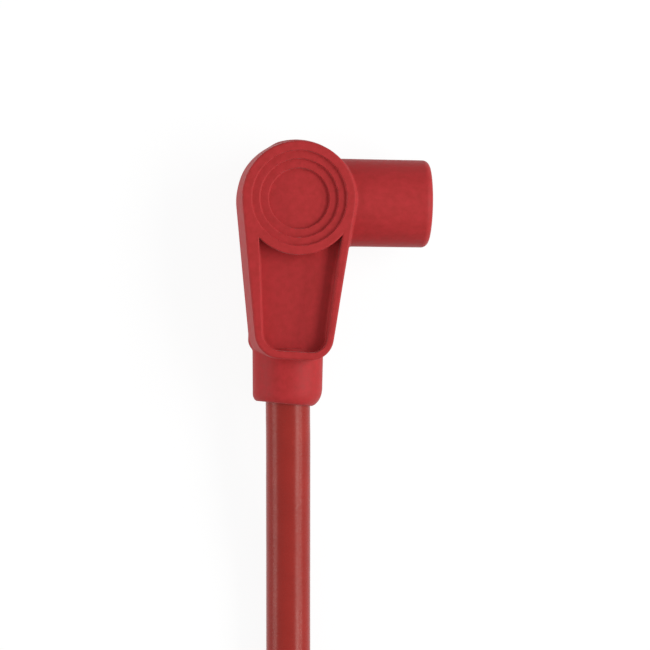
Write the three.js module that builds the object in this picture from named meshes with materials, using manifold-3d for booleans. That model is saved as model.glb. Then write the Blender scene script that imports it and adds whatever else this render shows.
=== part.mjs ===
// Spark plug wire: a right-angle plug boot, its lead wound into a small coil, and a straight coil boot.
// Millimetres, +Z up. The boot lies on its flat back, at z = 0. The origin is on that back face, below the
// point where the lead's axis (along Y) crosses the socket's axis (along X).

import * as THREE from 'three';
import { mergeVertices } from 'three/addons/utils/BufferGeometryUtils.js';
import Module from 'manifold-3d';

const wasm = await Module();
wasm.setup();

// Clearances
const gap = 0.3; // between faces that meet
const bore_clearance = 0.2; // round the lead where it slides through a boot
const crimp_clearance = 0.15; // inside and outside a crimp barrel
const chamber_clearance = 0.55; // round the snap cup
const plug_stop_clearance = 0.7; // between the snap cup and the plug's insulator
const cut_past = 1; // how far a cutting shape runs past the face that it opens

// Lead
const lead_diameter = 7.6;
const core_diameter = 1.8;
const core_reach = 2.6; // from the jacket's end to the middle of the bent core
const core_bend_radius = 1.4;

// Sheet metal of the plug terminal, which also sets both crimp barrels
const sheet = 0.5;
const crimp_length = 8.6;
const crimp_seam = 0.8;

// Snap cup of the plug terminal
const cup_radius = 3.9;
const cup_back_x = 0.5;
const cup_body_length = 5.2;
const cup_shoulder_length = 1.2;
const cup_neck_length = 1.1;
const cup_flare_length = 1.6;
const cup_neck_depth = 0.4; // the spring's groove
const cup_flare = 0.65; // how far the mouth opens past the neck
const finger_slots = 4;
const finger_slot_width = 1;
const finger_root = 3.1; // uncut length behind the slots
const strap_width = 4.4;
const strap_slope_length = 3;
const spring_wire_radius = 0.35;
const spring_opening = 0.5; // radians left open in the spring ring

// Plug boot: head, shank and collar
const face_margin = 0.45; // from the socket's side to the flat faces
const head_radius = 9.6; // at the flat faces
const head_offset = 1.2; // head centre from the lead's axis, towards the socket
const side_draft = 0.7; // how far the sides stand proud at mid-depth
const parting_land = 0.6; // straight band at mid-depth
const shank_length = 26.7;
const foot_inside_collar = 0.35; // the foot's left corner, from the collar's side
const foot_outside_collar = 0.55; // the foot's right corner, from the collar's side
const left_corner_radius = 4.2;
const right_corner_radius = 3.5;
const collar_wall = 1.45;
const collar_taper = 0.15;
const collar_length = 8.3;
const nose_length = 2.8; // rounded end of the collar, along the lead
const nose_lip = 0.2; // flat ring left round the bore
const crimp_stop = 5.1; // from the foot up to the crimp's end

// Plug boot: side socket
const plug_bore_radius = 5;
const plug_bore_depth = 13.7;
const plug_bore_bevel = 0.6;
const socket_wall = 2.55;
const socket_taper = 0.05;
const socket_mouth_round = 1.2;
const chamber_back = 5.3; // from the cup's back to the end of its chamber

// Plug boot: pockets in the shank, and steps in the head's front face
const pocket_rim = 1.3;
const pocket_floor_wall = 1; // between the pocket's floor and the crimp's bore
const pocket_floor_round = 1.2;
const outer_step_radius = 8.05;
const inner_step_radius = 6.65;
const step_height = 0.55;
const recess_radius = 5.15;
const recess_depth = 1.7;

// Coil boot, along its own axis from the small end
const neck_wall = 1.8;
const neck_length = 17;
const boot_edge_round = 0.9;
const grip_rings = 3;
const first_grip_ring = 4;
const grip_ring_pitch = 3.8;
const grip_ring_height = 0.7;
const grip_ring_width = 1.8;
const bell_shoulder_length = 5;
const bell_length = 21;
const bell_wall = 2.2;
const bell_rim_height = 0.4;
const bell_rim_width = 2.4;
const bell_bore_radius = 6.6;
const bell_bore_depth = 20;

// Coil terminal, turned and slotted
const core_room = 3.8; // inside the terminal, past the lead's end
const flange_clearance = 1.2; // between the flange and the bell's bore
const flange_thickness = 1.2;
const pin_radius = 3;
const pin_wall = 0.7;
const pin_recess = 6.5; // from the boot's mouth to the pin's tip
const pin_tip_bevel = 0.4;
const pin_slots = 2;
const pin_slot_width = 1;
const pin_root = 3; // uncut length behind the slots

// Coil of spare lead and its ties
const coil_turn_radius = 42.35; // middle of the outer turn
const coil_turns = 2;
const coil_entry_x = 0.85; // where the lead meets the outer turn
const coil_centre_y = -129.4;
const coil_boot_inset = 9.2; // the coil boot's axis from the outer turn's
const coil_boot_ahead = 2.4; // the coil boot's small end from the coil's middle
const tie_thickness = 1;
const tie_width = 3.6;
const tie_head_length = 6;
const tie_head_width = 5.4;
const tie_head_height = 3.4;
const tie_angles = [265, 15]; // degrees about the coil's middle, from +X

// Fineness of round pieces
const body_segments = 48;
const small_segments = 32;
const corner_segments = 6;
const cord_sides = 12;
const core_sides = 8;

// Places in the plug boot
const lead_radius = lead_diameter / 2;
const lead_bore_radius = lead_radius + bore_clearance;
const crimp_inner_radius = lead_radius + crimp_clearance;
const crimp_outer_radius = crimp_inner_radius + sheet;
const crimp_bore_radius = crimp_outer_radius + crimp_clearance;
const socket_radius = plug_bore_radius + socket_wall;
const boot_thickness = 2 * (socket_radius + face_margin);
const axis_z = boot_thickness / 2;
const collar_radius = crimp_bore_radius + collar_wall;
const foot_y = -shank_length;
const collar_end_y = foot_y - collar_length;
const crimp_bore_end_y = foot_y + crimp_stop;
const crimp_end_y = crimp_bore_end_y + gap;
const crimp_start_y = crimp_end_y + crimp_length;
const lead_start_y = crimp_start_y - gap;
const cup_neck_radius = cup_radius - cup_neck_depth;
const cup_mouth_radius = cup_neck_radius + cup_flare;
const cup_neck_x = cup_back_x + cup_body_length + cup_shoulder_length;
const cup_mouth_x = cup_neck_x + cup_neck_length + cup_flare_length;
const chamber_radius = cup_mouth_radius + chamber_clearance;
const plug_stop_x = cup_mouth_x + plug_stop_clearance;
const socket_mouth_x = plug_stop_x + plug_bore_depth;
const pocket_depth = axis_z - crimp_bore_radius - pocket_floor_wall;

// Places in the coil boot, from its small end
const neck_radius = crimp_bore_radius + neck_wall;
const grip_ring_radius = neck_radius + grip_ring_height;
const bell_radius = bell_bore_radius + bell_wall;
const bell_rim_radius = bell_radius + bell_rim_height;
const bell_start = neck_length + bell_shoulder_length;
const coil_boot_length = bell_start + bell_length;
const bell_floor = coil_boot_length - bell_bore_depth;
const flange_start = bell_floor + gap;
const flange_end = flange_start + flange_thickness;
const pin_tip = coil_boot_length - pin_recess;
const coil_lead_end = flange_start - core_room;
const coil_crimp_start = coil_lead_end + gap - crimp_length;

// Places about the coil
const coil_centre_x = coil_entry_x + coil_turn_radius;
const coil_axis_z = tie_thickness + gap + lead_radius;
const coil_top_z = coil_axis_z + lead_radius;
const coil_half_width = (coil_turns - 1) * lead_radius; // from the middle of the band to its outer turn

// The coil boot lies on the coil with its first grip ring and the start of its bell, its mouth towards -Y
const grip_rest = first_grip_ring - grip_ring_width / 4;
const coil_boot_rise = Math.atan2(bell_radius - grip_ring_radius, bell_start - grip_rest);
const coil_boot_place = new THREE.Vector3(
  coil_entry_x + coil_boot_inset,
  coil_centre_y + coil_boot_ahead,
  coil_top_z + gap + grip_ring_radius * Math.cos(coil_boot_rise) - grip_rest * Math.sin(coil_boot_rise),
);

// The lead from the plug terminal, out of the collar and down onto the table, to the coil's first turn
const run_points = [
  [0, lead_start_y, axis_z],
  [0, -24, axis_z],
  [0.1, collar_end_y, axis_z],
  [0.22, -41, 7.85],
  [0.31, -47, 7.3],
  [0.43, -53, 6.35],
  [0.57, -59, 5.25],
  [0.68, -65, 4.35],
  [0.77, -71, 3.9],
  [0.83, -77, 3.85],
  [0.85, -86, 3.9],
  [0.85, -95, 4.2],
  [0.85, -103.4, 4.6],
];

// The lead off the top of the coil, up to the coil boot's small end
const tail_points = [
  [28.5, -97.9, 13.02],
  [23.3, -101, 13.2],
  [18.75, -104.95, 13.62],
  [15.05, -109.7, 14.2],
  [12.3, -115.1, 14.85],
  [10.6, -120.9, 15.5],
];

function solidOf(geometry) {
  geometry.deleteAttribute('normal');
  geometry.deleteAttribute('uv');
  const merged = mergeVertices(geometry, 1e-4);
  return new wasm.Manifold(new wasm.Mesh({
    numProp: 3,
    vertProperties: new Float32Array(merged.attributes.position.array),
    triVerts: new Uint32Array(merged.index.array),
  }));
}

function geometryOf(solid) {
  const mesh = solid.getMesh();
  const geometry = new THREE.BufferGeometry();
  geometry.setAttribute('position', new THREE.BufferAttribute(mesh.vertProperties, 3));
  geometry.setIndex(new THREE.BufferAttribute(mesh.triVerts, 1));
  geometry.computeVertexNormals();
  return geometry;
}

function joined(first, ...rest) {
  return rest.reduce((whole, other) => whole.add(other), first);
}

function cut(whole, ...tools) {
  return tools.reduce((left, tool) => left.subtract(tool), whole);
}

function piece(name, solid, finish) {
  const mesh = new THREE.Mesh(geometryOf(solid), new THREE.MeshStandardMaterial(finish));
  mesh.name = name;
  return mesh;
}

// Points on an arc about (x, y), from one angle to another, both ends in
function arcPoints(x, y, radius, from, to, steps) {
  const points = [];
  for (let i = 0; i <= steps; i += 1) {
    const angle = from + (to - from) * i / steps;
    points.push(new THREE.Vector2(x + radius * Math.cos(angle), y + radius * Math.sin(angle)));
  }
  return points;
}

// A turned shape about the Y axis, from (radius, y) points
function turned(profile, segments = body_segments) {
  return new THREE.LatheGeometry(profile.map(([r, y]) => new THREE.Vector2(r, y)), segments);
}

// The same as a solid about the socket's axis, from (radius, x) points
function turnedAlongX(profile, segments) {
  return solidOf(turned(profile, segments).rotateZ(-Math.PI / 2).translate(0, 0, axis_z));
}

// The same as a solid about the lead's axis in the plug boot
function turnedAlongY(profile, segments) {
  return solidOf(turned(profile, segments).translate(0, 0, axis_z));
}

function rodLine(radius, from, to) {
  return [[0, from], [radius, from], [radius, to], [0, to]];
}

// The angle at which a line from an outside point touches a circle, on one side or the other
function tangentAngle(centre, radius, point, side) {
  const away = point.clone().sub(centre);
  return away.angle() + side * Math.acos(radius / away.length());
}

// An arc in place of a convex corner of an outline
function roundedCorner(before, corner, after, radius) {
  const back = before.clone().sub(corner).normalize();
  const ahead = after.clone().sub(corner).normalize();
  const half = Math.acos(back.dot(ahead)) / 2;
  const inward = back.clone().add(ahead).normalize();
  const middle = corner.clone().addScaledVector(inward, radius / Math.sin(half));
  const start = corner.clone().addScaledVector(back, radius / Math.tan(half)).sub(middle);
  const from = start.angle();
  return arcPoints(middle.x, middle.y, radius, from, from + Math.PI - 2 * half, corner_segments);
}

// Head and shank in one outline, set in by a margin from the flat face's
function bootOutline(margin) {
  const centre = new THREE.Vector2(head_offset, 0);
  const radius = head_radius - margin;
  const left_foot = new THREE.Vector2(foot_inside_collar - collar_radius + margin, foot_y + margin);
  const right_foot = new THREE.Vector2(collar_radius + foot_outside_collar - margin, foot_y + margin);
  const right = tangentAngle(centre, radius, right_foot, 1);
  const left = tangentAngle(centre, radius, left_foot, -1);
  const head = arcPoints(centre.x, centre.y, radius, right - Math.PI * 2, left, body_segments);
  return [
    ...head,
    ...roundedCorner(head[head.length - 1], left_foot, right_foot, left_corner_radius - margin),
    ...roundedCorner(left_foot, right_foot, head[0], right_corner_radius - margin),
  ];
}

// Both mould halves: the flat outline at each face, standing proud at mid-depth
function bootBody() {
  const side = (boot_thickness - parting_land) / 2;
  const body = new THREE.ExtrudeGeometry(new THREE.Shape(bootOutline(0)), {
    depth: parting_land, bevelThickness: side, bevelSize: side_draft, bevelSegments: 1,
  });
  return solidOf(body.translate(0, 0, side));
}

function bootSocket() {
  const mouth_radius = socket_radius - socket_taper;
  const edge = arcPoints(mouth_radius - socket_mouth_round, socket_mouth_x - socket_mouth_round,
    socket_mouth_round, 0, Math.PI / 2, corner_segments).map((point) => [point.x, point.y]);
  return turnedAlongX([[0, head_offset], [socket_radius, head_offset], ...edge, [0, socket_mouth_x]]);
}

function bootCollar() {
  const lip_radius = lead_bore_radius + nose_lip;
  const nose_height = collar_radius - collar_taper - lip_radius;
  const nose = arcPoints(0, 0, 1, -Math.PI / 2, 0, corner_segments).map((point) => [
    lip_radius + nose_height * point.x, collar_end_y + nose_length * (1 + point.y),
  ]);
  const root_y = foot_y + pocket_rim;
  return turnedAlongY([[0, collar_end_y], ...nose, [collar_radius, root_y], [0, root_y]]);
}

function uprightDisc(radius, from_z, to_z) {
  const disc = new THREE.CylinderGeometry(radius, radius, to_z - from_z, body_segments);
  return solidOf(disc.rotateX(Math.PI / 2).translate(head_offset, 0, (from_z + to_z) / 2));
}

// The pocket below the head: the shank's outline set in by the rim, less the head's disc
function shankPocket() {
  const outline = new THREE.Shape(bootOutline(pocket_rim + pocket_floor_round));
  const hollow = new THREE.ExtrudeGeometry(outline, {
    depth: pocket_depth, bevelThickness: pocket_floor_round, bevelSize: pocket_floor_round, bevelSegments: 3,
  });
  hollow.translate(0, 0, boot_thickness - pocket_depth + pocket_floor_round);
  return cut(solidOf(hollow), uprightDisc(head_radius, 0, boot_thickness * 2));
}

function faceStep(radius, depth) {
  return uprightDisc(radius, boot_thickness - depth, boot_thickness + cut_past);
}

function plugBoot() {
  const front_pocket = shankPocket();
  const back_pocket = front_pocket.mirror([0, 0, 1]).translate([0, 0, boot_thickness]);
  const past_mouth_x = socket_mouth_x + cut_past;
  const bevel_x = socket_mouth_x - plug_bore_bevel;
  const mouth_bevel = turnedAlongX([
    [0, bevel_x],
    [plug_bore_radius, bevel_x],
    [plug_bore_radius + plug_bore_bevel + cut_past, past_mouth_x],
    [0, past_mouth_x],
  ]);
  return cut(
    joined(cut(bootBody(), front_pocket, back_pocket), bootSocket(), bootCollar()),
    faceStep(outer_step_radius, step_height),
    faceStep(inner_step_radius, 2 * step_height),
    faceStep(recess_radius, recess_depth),
    turnedAlongY(rodLine(lead_bore_radius, collar_end_y - cut_past, crimp_bore_end_y + cut_past)),
    turnedAlongY(rodLine(crimp_bore_radius, crimp_bore_end_y, 0)),
    turnedAlongX(rodLine(chamber_radius, cup_back_x - chamber_back, plug_stop_x + cut_past)),
    turnedAlongX(rodLine(plug_bore_radius, plug_stop_x, past_mouth_x)),
    mouth_bevel,
  );
}

// One face of the snap cup as (radius, x)
function cupLine(inset) {
  return [
    [cup_radius - inset, cup_back_x],
    [cup_radius - inset, cup_neck_x - cup_shoulder_length],
    [cup_neck_radius - inset, cup_neck_x],
    [cup_neck_radius - inset, cup_neck_x + cup_neck_length],
    [cup_mouth_radius - inset, cup_mouth_x],
  ];
}

function fingerSlots() {
  const length = cup_mouth_x - cup_back_x - finger_root + cut_past;
  const slots = [];
  for (let i = 0; i < finger_slots; i += 1) {
    const slot = new THREE.BoxGeometry(length, cup_radius * 2, finger_slot_width);
    slot.translate(cup_mouth_x + cut_past - length / 2, cup_radius, 0);
    slot.rotateX(Math.PI * 2 * (i + 0.5) / finger_slots);
    slots.push(solidOf(slot.translate(0, 0, axis_z)));
  }
  return slots;
}

function crimpBarrel() {
  const ring = turnedAlongY([
    [crimp_inner_radius, crimp_end_y],
    [crimp_outer_radius, crimp_end_y],
    [crimp_outer_radius, crimp_start_y],
    [crimp_inner_radius, crimp_start_y],
    [crimp_inner_radius, crimp_end_y],
  ], small_segments);
  const seam = new THREE.BoxGeometry(crimp_seam, crimp_length + 2 * cut_past, crimp_outer_radius * 2);
  seam.translate(0, (crimp_start_y + crimp_end_y) / 2, axis_z + crimp_outer_radius);
  return cut(ring, solidOf(seam));
}

// The strap runs from under the cup down to the crimp barrel, with a slope between their two levels
function terminalStrap() {
  const cup_z = axis_z - cup_radius;
  const crimp_z = axis_z - crimp_outer_radius;
  const lower = [
    [crimp_end_y, crimp_z],
    [crimp_start_y, crimp_z],
    [crimp_start_y + strap_slope_length, cup_z],
    [0, cup_z],
  ];
  const upper = lower.map(([y, z]) => [y, z + sheet]).reverse();
  const side = new THREE.Shape([...lower, ...upper].map(([y, z]) => new THREE.Vector2(y, z)));
  const strap = new THREE.ExtrudeGeometry(side, { depth: strap_width, bevelEnabled: false });
  strap.rotateZ(Math.PI / 2).rotateY(Math.PI / 2).translate(-strap_width / 2, 0, 0);
  const outside = turnedAlongY(rodLine(crimp_outer_radius, crimp_end_y, 0), small_segments);
  const inside = turnedAlongY(rodLine(crimp_inner_radius, crimp_end_y, crimp_start_y), small_segments);
  return cut(solidOf(strap).intersect(outside), inside);
}

function plugTerminal() {
  const cup = turnedAlongX([...cupLine(0), ...cupLine(sheet).reverse(), cupLine(0)[0]], small_segments);
  return joined(cut(cup, ...fingerSlots()), terminalStrap(), crimpBarrel());
}

// A plain rod of few sides along points
function rodAlong(points, radius, sides, steps) {
  const section = new THREE.Shape(arcPoints(0, 0, radius, 0, Math.PI * 2 * (1 - 1 / sides), sides - 1));
  const path = new THREE.CatmullRomCurve3(points, false, 'centripetal');
  return solidOf(new THREE.ExtrudeGeometry(section, { steps, extrudePath: path, bevelEnabled: false }));
}

// An open ring of spring wire in the groove of the cup
function snapSpring() {
  const ring_radius = cup_neck_radius + crimp_clearance + spring_wire_radius;
  const ring = arcPoints(0, axis_z, ring_radius, spring_opening / 2, Math.PI * 2 - spring_opening / 2,
    small_segments);
  const groove_x = cup_neck_x + cup_neck_length / 2;
  const points = ring.map((point) => new THREE.Vector3(groove_x, point.x, point.y));
  return rodAlong(points, spring_wire_radius, core_sides, small_segments);
}

// The stripped core leaves the jacket's end, then bends over to meet metal at a distance from the axis
function bareCore(start, over, distance) {
  const ahead = new THREE.Vector3(0, 1, 0);
  const bend = start.clone().addScaledVector(ahead, core_reach - core_bend_radius);
  const half = core_bend_radius * Math.SQRT1_2;
  const points = [
    start.clone().addScaledVector(ahead, gap),
    bend,
    bend.clone().addScaledVector(ahead, half).addScaledVector(over, core_bend_radius - half),
    bend.clone().addScaledVector(ahead, core_bend_radius).addScaledVector(over, core_bend_radius),
    bend.clone().addScaledVector(ahead, core_bend_radius).addScaledVector(over, distance - gap),
  ];
  return rodAlong(points, core_diameter / 2, core_sides, core_sides);
}

function plugEndCore() {
  return bareCore(new THREE.Vector3(...run_points[0]), new THREE.Vector3(0, 0, -1), cup_radius - sheet);
}

function coilEndCore() {
  return bareCore(new THREE.Vector3(0, coil_lead_end, 0), new THREE.Vector3(0, 0, 1), crimp_inner_radius);
}

function vectors(points) {
  return points.map((point) => new THREE.Vector3(...point));
}

function leadRun() {
  return rodAlong(vectors(run_points), lead_radius, cord_sides, run_points.length - 1);
}

// A point on the coil boot's axis, at a distance from its small end
function alongCoilBoot(distance) {
  const heading = new THREE.Vector3(0, -Math.cos(coil_boot_rise), Math.sin(coil_boot_rise));
  return coil_boot_place.clone().addScaledVector(heading, distance);
}

function leadTail() {
  const points = [...vectors(tail_points), alongCoilBoot(0), alongCoilBoot(coil_lead_end)];
  return rodAlong(points, lead_radius, cord_sides, points.length);
}

// Outline of the turns side by side, set out by a margin: flat above and below, with round sides
function turnsOutline(margin) {
  const radius = lead_radius + margin;
  return [
    ...arcPoints(coil_half_width, 0, radius, -Math.PI / 2, Math.PI / 2, corner_segments),
    ...arcPoints(-coil_half_width, 0, radius, Math.PI / 2, Math.PI * 1.5, corner_segments),
  ];
}

function leadCoil() {
  const middle = coil_turn_radius - coil_half_width;
  const section = turnsOutline(0).map((point) => [middle + point.x, coil_axis_z + point.y]);
  const ring = turned([...section, section[0]]).rotateX(Math.PI / 2);
  return solidOf(ring.translate(coil_centre_x, coil_centre_y, 0));
}

// A closed strap about the turns, with its locking head on top
function coilTie() {
  const strap = new THREE.Shape(turnsOutline(gap + tie_thickness));
  strap.holes.push(new THREE.Path(turnsOutline(gap)));
  const loop = new THREE.ExtrudeGeometry(strap, { depth: tie_width, bevelEnabled: false });
  loop.translate(0, 0, -tie_width / 2).rotateX(Math.PI / 2);
  const head = new THREE.BoxGeometry(tie_head_length, tie_head_width, tie_head_height);
  head.translate(0, 0, lead_radius + gap + tie_head_height / 2);
  return joined(solidOf(loop), solidOf(head));
}

// The tie stands across the band of turns, at an angle about the coil's middle
function placedTie(name, degrees, finish) {
  const tie = piece(name, coilTie(), finish);
  tie.position.set(coil_turn_radius - coil_half_width, 0, coil_axis_z);
  const spoke = new THREE.Group();
  spoke.position.set(coil_centre_x, coil_centre_y, 0);
  spoke.rotation.z = THREE.MathUtils.degToRad(degrees);
  spoke.add(tie);
  return spoke;
}

// Outer line of the coil boot as (radius, distance from its small end)
function coilBootLine() {
  const line = [[neck_radius - boot_edge_round, 0], [neck_radius, boot_edge_round]];
  for (let i = 0; i < grip_rings; i += 1) {
    const middle = first_grip_ring + i * grip_ring_pitch;
    line.push([neck_radius, middle - grip_ring_width / 2]);
    line.push([grip_ring_radius, middle - grip_ring_width / 4]);
    line.push([grip_ring_radius, middle + grip_ring_width / 4]);
    line.push([neck_radius, middle + grip_ring_width / 2]);
  }
  const rim_start = coil_boot_length - bell_rim_width;
  line.push([neck_radius, neck_length]);
  line.push([bell_radius, bell_start]);
  line.push([bell_radius, rim_start - boot_edge_round]);
  line.push([bell_rim_radius, rim_start]);
  line.push([bell_rim_radius, coil_boot_length - boot_edge_round]);
  line.push([bell_rim_radius - boot_edge_round, coil_boot_length]);
  return line;
}

function coilBoot() {
  const shapes = [
    [[0, 0], ...coilBootLine(), [0, coil_boot_length]],
    rodLine(lead_bore_radius, -cut_past, coil_crimp_start),
    rodLine(crimp_bore_radius, coil_crimp_start - gap, bell_floor + cut_past),
    rodLine(bell_bore_radius, bell_floor, coil_boot_length + cut_past),
  ];
  return cut(...shapes.map((line) => solidOf(turned(line, small_segments))));
}

function coilTerminal() {
  const flange_radius = bell_bore_radius - flange_clearance;
  const body = solidOf(turned([
    [0, flange_start],
    [crimp_inner_radius, flange_start],
    [crimp_inner_radius, coil_crimp_start],
    [crimp_outer_radius, coil_crimp_start],
    [crimp_outer_radius, flange_start],
    [flange_radius, flange_start],
    [flange_radius, flange_end],
    [pin_radius, flange_end],
    [pin_radius, pin_tip - pin_tip_bevel],
    [pin_radius - pin_tip_bevel, pin_tip],
    [pin_radius - pin_wall, pin_tip],
    [pin_radius - pin_wall, flange_end],
    [0, flange_end],
  ], small_segments));
  const slot_length = pin_tip - flange_end - pin_root + cut_past;
  const slots = [];
  for (let i = 0; i < pin_slots; i += 1) {
    const slot = new THREE.BoxGeometry(pin_radius * 2 + cut_past, slot_length, pin_slot_width);
    slot.translate(0, pin_tip + cut_past - slot_length / 2, 0);
    slots.push(solidOf(slot.rotateY(Math.PI * i / pin_slots)));
  }
  return cut(body, ...slots);
}

const silicone = { color: 0xa93634, roughness: 0.6, metalness: 0 };
const jacket = { color: 0xa5322f, roughness: 0.4, metalness: 0 };
const brass = { color: 0xc8a25a, roughness: 0.3, metalness: 1 };
const tinned_steel = { color: 0xb9bcbf, roughness: 0.35, metalness: 1 };
const carbon_core = { color: 0x2b2a2c, roughness: 0.8, metalness: 0 };
const nylon = { color: 0x1b1b1d, roughness: 0.5, metalness: 0 };

const plug_end = new THREE.Group();
plug_end.add(
  piece('plug_boot', plugBoot(), silicone),
  piece('plug_terminal', plugTerminal(), tinned_steel),
  piece('plug_terminal_spring', snapSpring(), tinned_steel),
  piece('plug_end_core', plugEndCore(), carbon_core),
);

const lead = new THREE.Group();
lead.add(
  piece('lead_run', leadRun(), jacket),
  piece('lead_coil', leadCoil(), jacket),
  piece('lead_tail', leadTail(), jacket),
);
tie_angles.forEach((degrees, i) => lead.add(placedTie(`coil_tie_${i + 1}`, degrees, nylon)));

// The coil end is made along +Y from its small end, then turned to lie on the coil
const coil_end = new THREE.Group();
coil_end.add(
  piece('coil_boot', coilBoot(), silicone),
  piece('coil_terminal', coilTerminal(), brass),
  piece('coil_end_core', coilEndCore(), carbon_core),
);
coil_end.position.copy(coil_boot_place);
coil_end.rotation.x = Math.PI - coil_boot_rise;

const spark_plug_wire = new THREE.Group();
spark_plug_wire.add(plug_end, lead, coil_end);

export default spark_plug_wire;
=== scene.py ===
"""Spark plug wire: a moulded plug boot, its lead in a small coil, and a straight coil boot.

Every piece is in metres, in the part's own frame: +X out of the side socket, +Y from the lead
to the round head, +Z out of the boot's front face. Sizes inside the mesh code are millimetres,
times MM.
"""

import math

import bmesh
import bpy
import numpy as np
from mathutils import Matrix, Vector


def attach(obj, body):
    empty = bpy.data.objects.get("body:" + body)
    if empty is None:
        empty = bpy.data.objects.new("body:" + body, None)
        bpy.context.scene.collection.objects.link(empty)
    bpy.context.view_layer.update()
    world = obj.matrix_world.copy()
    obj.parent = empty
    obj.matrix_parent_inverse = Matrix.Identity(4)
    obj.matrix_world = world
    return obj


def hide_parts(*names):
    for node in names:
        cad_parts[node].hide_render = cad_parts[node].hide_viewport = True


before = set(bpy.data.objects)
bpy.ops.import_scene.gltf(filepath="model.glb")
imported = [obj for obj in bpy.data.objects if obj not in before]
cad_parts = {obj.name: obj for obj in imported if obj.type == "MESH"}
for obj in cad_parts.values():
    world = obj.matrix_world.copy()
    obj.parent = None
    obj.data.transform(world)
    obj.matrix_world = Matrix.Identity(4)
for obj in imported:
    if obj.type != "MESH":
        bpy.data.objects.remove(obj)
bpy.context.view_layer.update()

bl_info = {
    "name": "Spark plug wire",
    "version": (1, 0, 0),
    "blender": (4, 5, 0),
    "location": "View3D > Sidebar > Spark plug wire",
    "description": "Builds a spark plug wire: plug boot, coiled lead, coil boot and terminals",
    "category": "Add Mesh",
}

MM = 0.001


# Settings


class StageSettings(bpy.types.PropertyGroup):
    """Floor, lamps and camera."""

    floor_color: bpy.props.FloatVectorProperty(
        name="Floor colour", description="Colour of the floor", default=(0.35, 0.35, 0.35), size=3,
        min=0, max=1, subtype="COLOR")
    key_power: bpy.props.FloatProperty(
        name="Key lamp", description="Power of the soft lamp on the right", default=1.75, min=0,
        unit="POWER")
    strip_power: bpy.props.FloatProperty(
        name="Strip lamp", description="Power of the narrow lamp low on the right", default=0.8,
        min=0, unit="POWER")
    fill_power: bpy.props.FloatProperty(
        name="Fill lamp", description="Power of the narrow lamp on the left", default=0.75, min=0,
        unit="POWER")
    side_power: bpy.props.FloatProperty(
        name="Side lamp", description="Power of the lamp near the floor on the left",
        default=0.55, min=0, unit="POWER")
    sky_strength: bpy.props.FloatProperty(
        name="Sky strength", description="Strength of the even light all round", default=0.44,
        min=0)
    picture_angle: bpy.props.FloatProperty(
        name="Picture angle", description="Angle of view of the camera",
        default=math.radians(17.69), min=0.01, max=3, subtype="ANGLE")


class LeadSettings(bpy.types.PropertyGroup):
    """The lead's cable, its core and its ties."""

    diameter: bpy.props.FloatProperty(
        name="Diameter", description="Outer diameter of the jacket", default=0.0076, min=0.005,
        max=0.01, subtype="DISTANCE", unit="LENGTH")
    core_diameter: bpy.props.FloatProperty(
        name="Core diameter", description="Diameter of the stripped core", default=0.0018,
        min=0.0005, max=0.004, subtype="DISTANCE", unit="LENGTH")
    jacket_color: bpy.props.FloatVectorProperty(
        name="Jacket colour", description="Colour of the silicone jacket",
        default=(0.285, 0.017, 0.0125), size=3, min=0, max=1, subtype="COLOR")
    tie_color: bpy.props.FloatVectorProperty(
        name="Tie colour", description="Colour of the nylon ties", default=(0.012, 0.012, 0.013),
        size=3, min=0, max=1, subtype="COLOR")


class BootSettings(bpy.types.PropertyGroup):
    """Finish and fineness of the moulded boots."""

    silicone_color: bpy.props.FloatVectorProperty(
        name="Silicone colour", description="Colour of the moulded silicone",
        default=(0.385, 0.0215, 0.0215), size=3, min=0, max=1, subtype="COLOR")
    edge_round: bpy.props.FloatProperty(
        name="Edge rounding", description="Rounding of the moulded outer edges",
        default=0.00035, min=0.0001, max=0.001, subtype="DISTANCE", unit="LENGTH")
    floor_round: bpy.props.FloatProperty(
        name="Pocket rounding", description="Rounding between the pocket's walls and its floor",
        default=0.00045, min=0.0003, max=0.002, subtype="DISTANCE", unit="LENGTH")
    mesh_step: bpy.props.FloatProperty(
        name="Mesh step", description="Size of the plug boot's mesh faces", default=0.00017,
        min=0.0001, max=0.002, subtype="DISTANCE", unit="LENGTH")


class TerminalSettings(bpy.types.PropertyGroup):
    """Metal of the two terminals."""

    steel_color: bpy.props.FloatVectorProperty(
        name="Tinned steel", description="Colour of the plug terminal",
        default=(0.49, 0.51, 0.53), size=3, min=0, max=1, subtype="COLOR")
    brass_color: bpy.props.FloatVectorProperty(
        name="Brass", description="Colour of the coil terminal", default=(0.58, 0.36, 0.11),
        size=3, min=0, max=1, subtype="COLOR")


# Materials. Scales of noise are in cycles a metre, and heights of grain in metres.

CORE_COLOR = (0.022, 0.021, 0.023)


def new_material(name, color, roughness, metallic=0.0, specular=0.5):
    """A material with one Principled shader, and its node tree to dress further."""
    material = bpy.data.materials.new(name)
    material.use_nodes = True
    shader = material.node_tree.nodes["Principled BSDF"]
    shader.inputs["Base Color"].default_value = (*color, 1.0)
    shader.inputs["Roughness"].default_value = roughness
    shader.inputs["Metallic"].default_value = metallic
    shader.inputs["Specular IOR Level"].default_value = specular
    material.diffuse_color = (*color, 1.0)
    return material, material.node_tree, shader


def noise(tree, coordinates, scale, detail=3.0):
    """A noise texture over the object's own coordinates."""
    node = tree.nodes.new("ShaderNodeTexNoise")
    node.inputs["Scale"].default_value = scale
    node.inputs["Detail"].default_value = detail
    node.inputs["Roughness"].default_value = 0.55
    tree.links.new(coordinates, node.inputs["Vector"])
    return node.outputs["Fac"]


def object_coordinates(tree):
    return tree.nodes.new("ShaderNodeTexCoord").outputs["Object"]


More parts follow.
